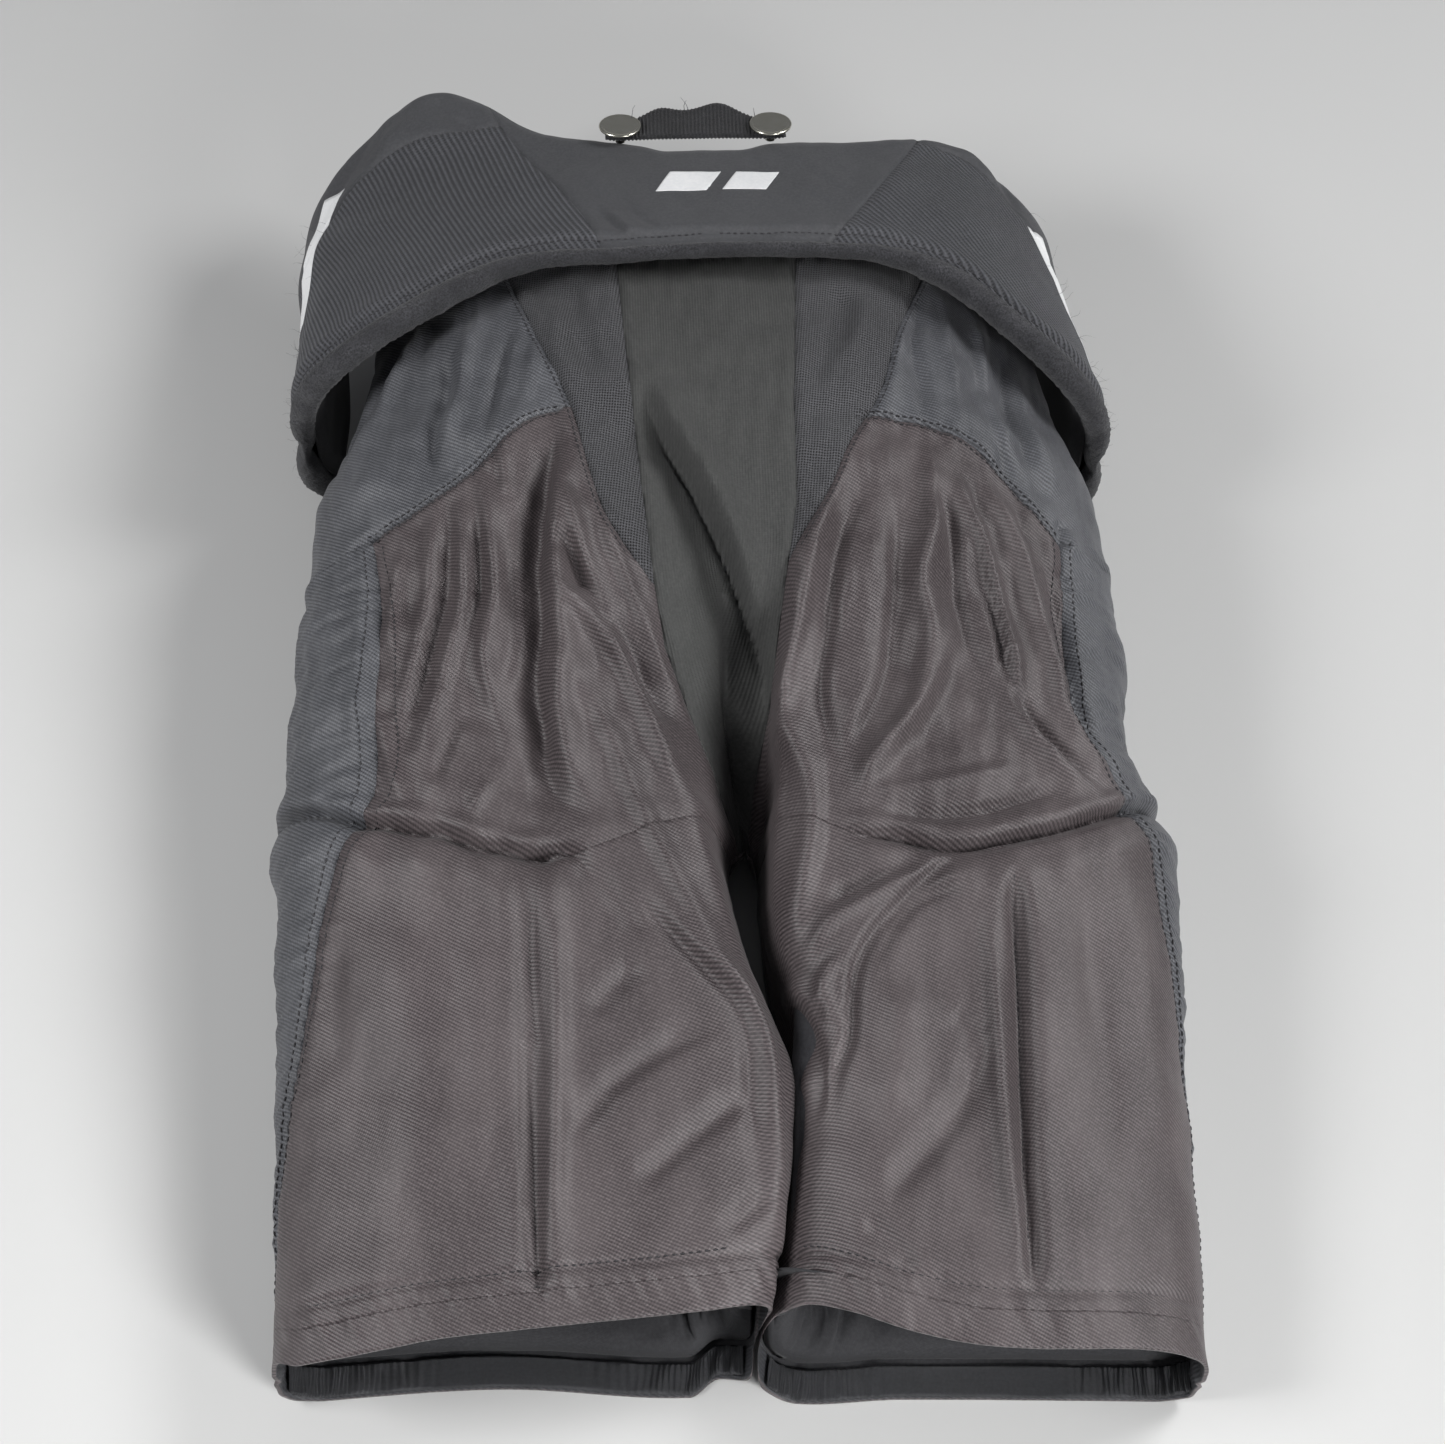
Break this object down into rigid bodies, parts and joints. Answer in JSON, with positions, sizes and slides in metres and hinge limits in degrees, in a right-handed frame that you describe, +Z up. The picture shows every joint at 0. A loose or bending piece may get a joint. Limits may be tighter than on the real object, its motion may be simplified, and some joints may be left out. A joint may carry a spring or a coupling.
{
  "type": "hockey pants",
  "caption": "Padded ice hockey pants lying on their front, seat up, with a flap over the kidneys, stretch seat, mesh gussets, boxy thigh pads and suspender buttons.",
  "frame": {"origin": "on the surface the pants lie on, under the middle of their bounding box", "axes": "+Z up, through the seat; +Y from the leg hems to the waist; +X to the right when the waist is seen at the top"},
  "size_m": [0.3218, 0.5017, 0.1246],
  "materials": {
    "brown_nylon": "matte",
    "grey_nylon": "matte",
    "stretch_knit": "matte",
    "mesh_knit": "matte",
    "cover_cloth": "matte",
    "lining": "matte",
    "foam": "matte",
    "webbing": "matte",
    "black_plastic": "satin",
    "nickel": "satin"
  },
  "bodies": {
    "seat": {"seat_stretch_panel": "stretch_knit", "left_mesh_gusset": "mesh_knit", "right_mesh_gusset": "mesh_knit", "left_hip_yoke": "grey_nylon", "right_hip_yoke": "grey_nylon", "left_rear_upper_thigh": "brown_nylon", "right_rear_upper_thigh": "brown_nylon", "left_upper_side_panel": "grey_nylon", "right_upper_side_panel": "grey_nylon", "left_front_upper_thigh": "grey_nylon", "right_front_upper_thigh": "grey_nylon", "crotch_gusset": "stretch_knit", "left_front_yoke": "grey_nylon", "right_front_yoke": "grey_nylon", "left_fly_eyelet_1": "nickel", "right_fly_eyelet_1": "nickel", "left_fly_eyelet_2": "nickel", "right_fly_eyelet_2": "nickel", "fly_tongue": "lining", "left_hip_guard_plate": "black_plastic", "right_hip_guard_plate": "black_plastic", "left_hip_guard_foam": "foam", "right_hip_guard_foam": "foam", "tailbone_guard_plate": "black_plastic", "tailbone_guard_foam": "foam", "waist_belt": "webbing", "buckle_frame": "black_plastic", "buckle_pin": "nickel"},
    "left_leg": {"left_rear_thigh_panel": "brown_nylon", "left_side_panel": "grey_nylon", "left_front_thigh_panel": "grey_nylon", "left_hem_band": "brown_nylon", "left_thigh_guard_plate": "black_plastic", "left_thigh_guard_foam": "foam", "left_rear_inner_pad": "foam", "left_rear_outer_pad": "foam", "left_leg_liner": "lining"},
    "right_leg": {"right_rear_thigh_panel": "brown_nylon", "right_side_panel": "grey_nylon", "right_front_thigh_panel": "grey_nylon", "right_hem_band": "brown_nylon", "right_thigh_guard_plate": "black_plastic", "right_thigh_guard_foam": "foam", "right_rear_inner_pad": "foam", "right_rear_outer_pad": "foam", "right_leg_liner": "lining"},
    "kidney_guard": {"guard_center_cover": "cover_cloth", "left_guard_wing_cover": "mesh_knit", "right_guard_wing_cover": "mesh_knit", "spine_guard_plate": "black_plastic", "spine_guard_foam": "foam", "left_kidney_foam": "foam", "right_kidney_foam": "foam", "guard_lining": "lining", "guard_edge_roll": "cover_cloth", "suspender_loop": "webbing"},
    "left_button": {"left_suspender_button": "nickel"},
    "right_button": {"right_suspender_button": "nickel"},
    "buckle_cam": {"buckle_lever": "black_plastic"}
  },
  "joints": [
    {"name": "right_leg_splay", "type": "hinge", "parent": "seat", "child": "right_leg", "pos_m": [0.08, -0.058, 0.03], "axis": [0, 0, 1], "range_deg": [0, 10], "deforming": ["right_rear_upper_thigh", "right_upper_side_panel", "right_front_upper_thigh"]},
    {"name": "left_leg_splay", "type": "hinge", "parent": "seat", "child": "left_leg", "pos_m": [-0.08, -0.058, 0.03], "axis": [0, 0, -1], "range_deg": [0, 10], "deforming": ["left_rear_upper_thigh", "left_upper_side_panel", "left_front_upper_thigh"]},
    {"name": "kidney_guard_tilt", "type": "hinge", "parent": "seat", "child": "kidney_guard", "pos_m": [0, 0.231, 0.091], "axis": [-1, 0, 0], "range_deg": [0, 10]},
    {"name": "right_button_turn", "type": "hinge", "parent": "kidney_guard", "child": "right_button", "pos_m": [0.03, 0.23417, 0.1065], "axis": [0, 0.2924, 0.9563], "continuous": true},
    {"name": "left_button_turn", "type": "hinge", "parent": "kidney_guard", "child": "left_button", "pos_m": [-0.03, 0.23417, 0.1065], "axis": [0, 0.2924, 0.9563], "continuous": true},
    {"name": "buckle_lever_turn", "type": "hinge", "parent": "seat", "child": "buckle_cam", "pos_m": [-0.0139, 0.214, 0.00427], "axis": [0, 1, 0], "range_deg": [0, 80]}
  ]
}
